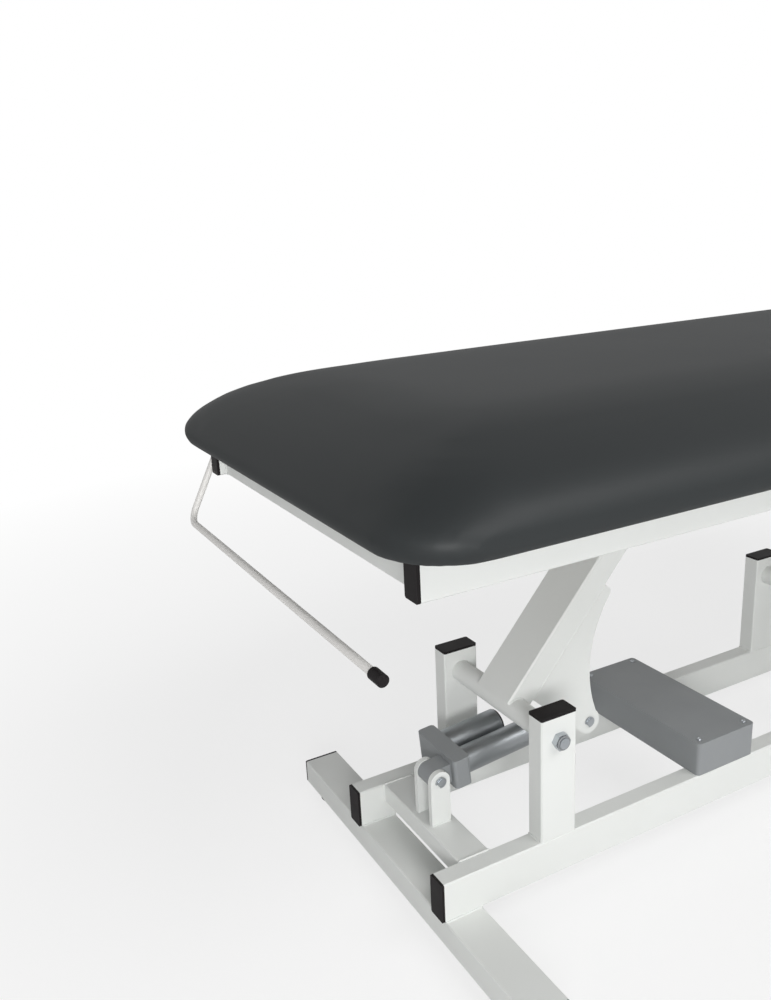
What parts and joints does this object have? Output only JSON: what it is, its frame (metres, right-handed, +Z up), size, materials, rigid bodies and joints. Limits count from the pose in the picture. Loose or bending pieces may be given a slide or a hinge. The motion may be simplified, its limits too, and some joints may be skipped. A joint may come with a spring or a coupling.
{
  "type": "massage table",
  "caption": "Height-adjustable massage table: a thick padded top with a breathing hole on a white tube frame, raised by parallel arms and a linear actuator on a floor base.",
  "frame": {"origin": "on the floor under the middle of the padded top, at the stored height", "axes": "+X along the table from the roll bar to the breathing hole, +Z up"},
  "size_m": [1.966, 0.738, 0.7593],
  "materials": {
    "white_powder_coat": "satin powder coat",
    "charcoal_vinyl": "smooth upholstery vinyl",
    "plywood": "bare",
    "black_plastic": "moulded",
    "grey_plastic": "moulded",
    "grey_alloy": "anodised",
    "zinc_steel": "zinc plated",
    "rubber": "moulded"
  },
  "bodies": {
    "base": {"base_rail_near": "white_powder_coat", "base_rail_far": "white_powder_coat", "base_rail_plugs": "black_plastic", "front_cross_foot": "white_powder_coat", "rear_cross_foot": "white_powder_coat", "cross_foot_plugs": "black_plastic", "rubber_feet": "rubber", "front_upright_near": "white_powder_coat", "front_upright_far": "white_powder_coat", "rear_upright_near": "white_powder_coat", "rear_upright_far": "white_powder_coat", "upright_plugs": "black_plastic", "front_lower_axle": "zinc_steel", "rear_lower_axle": "zinc_steel", "lower_axle_nuts": "zinc_steel", "actuator_cross_bar": "white_powder_coat", "actuator_ears": "white_powder_coat", "actuator_anchor_pin": "zinc_steel", "control_box": "grey_plastic", "control_box_lid": "grey_plastic", "power_inlet": "black_plastic"},
    "front_arm": {"front_arm_beam": "white_powder_coat", "front_lower_sleeve": "white_powder_coat", "front_upper_sleeve": "white_powder_coat", "drive_lug_near": "white_powder_coat", "drive_lug_far": "white_powder_coat", "drive_pin": "zinc_steel"},
    "table_top": {"side_rail_near": "white_powder_coat", "side_rail_far": "white_powder_coat", "rail_end_caps": "black_plastic", "foot_end_rail": "white_powder_coat", "head_end_rail": "white_powder_coat", "front_pivot_rail": "white_powder_coat", "rear_pivot_rail": "white_powder_coat", "front_pivot_ears": "white_powder_coat", "rear_pivot_ears": "white_powder_coat", "front_upper_axle": "zinc_steel", "rear_upper_axle": "zinc_steel", "upper_axle_nuts": "zinc_steel", "pad_board": "plywood", "table_pad": "charcoal_vinyl", "roll_bar": "white_powder_coat", "roll_bar_plate": "white_powder_coat", "roll_bar_tip": "black_plastic"},
    "rear_arm": {"rear_arm_beam": "white_powder_coat", "rear_lower_sleeve": "white_powder_coat", "rear_upper_sleeve": "white_powder_coat"},
    "actuator_body": {"actuator_gear_case": "grey_plastic", "actuator_motor": "grey_alloy", "actuator_guide": "grey_alloy"},
    "push_rod": {"actuator_rod": "zinc_steel", "rod_eye": "zinc_steel"}
  },
  "joints": [
    {"name": "lift", "type": "hinge", "parent": "base", "child": "front_arm", "pos_m": [-0.632, 0, 0.27], "axis": [0, -1, 0], "range_deg": [-38.6, 26.4]},
    {"name": "top_level", "type": "hinge", "parent": "front_arm", "child": "table_top", "pos_m": [-0.36285, 0, 0.5753], "axis": [0, -1, 0], "range_deg": [-26.4, 38.6]},
    {"name": "rear_arm_swing", "type": "hinge", "parent": "base", "child": "rear_arm", "pos_m": [0.068, 0, 0.27], "axis": [0, -1, 0], "range_deg": [-38.6, 26.4]},
    {"name": "actuator_swing", "type": "hinge", "parent": "base", "child": "actuator_body", "pos_m": [-0.75487, 0, 0.18396], "axis": [0, -1, 0], "range_deg": [-19.3, 13.2]},
    {"name": "rod_swing", "type": "hinge", "parent": "front_arm", "child": "push_rod", "pos_m": [-0.49605, 0, 0.20661], "axis": [0, -1, 0], "range_deg": [-13.2, 19.3]}
  ],
  "couplings": [
    {"joint": "top_level", "follows": "lift", "ratio": -1},
    {"joint": "rear_arm_swing", "follows": "lift", "ratio": 1},
    {"joint": "actuator_swing", "follows": "lift", "ratio": 0.5},
    {"joint": "rod_swing", "follows": "lift", "ratio": -0.5}
  ]
}
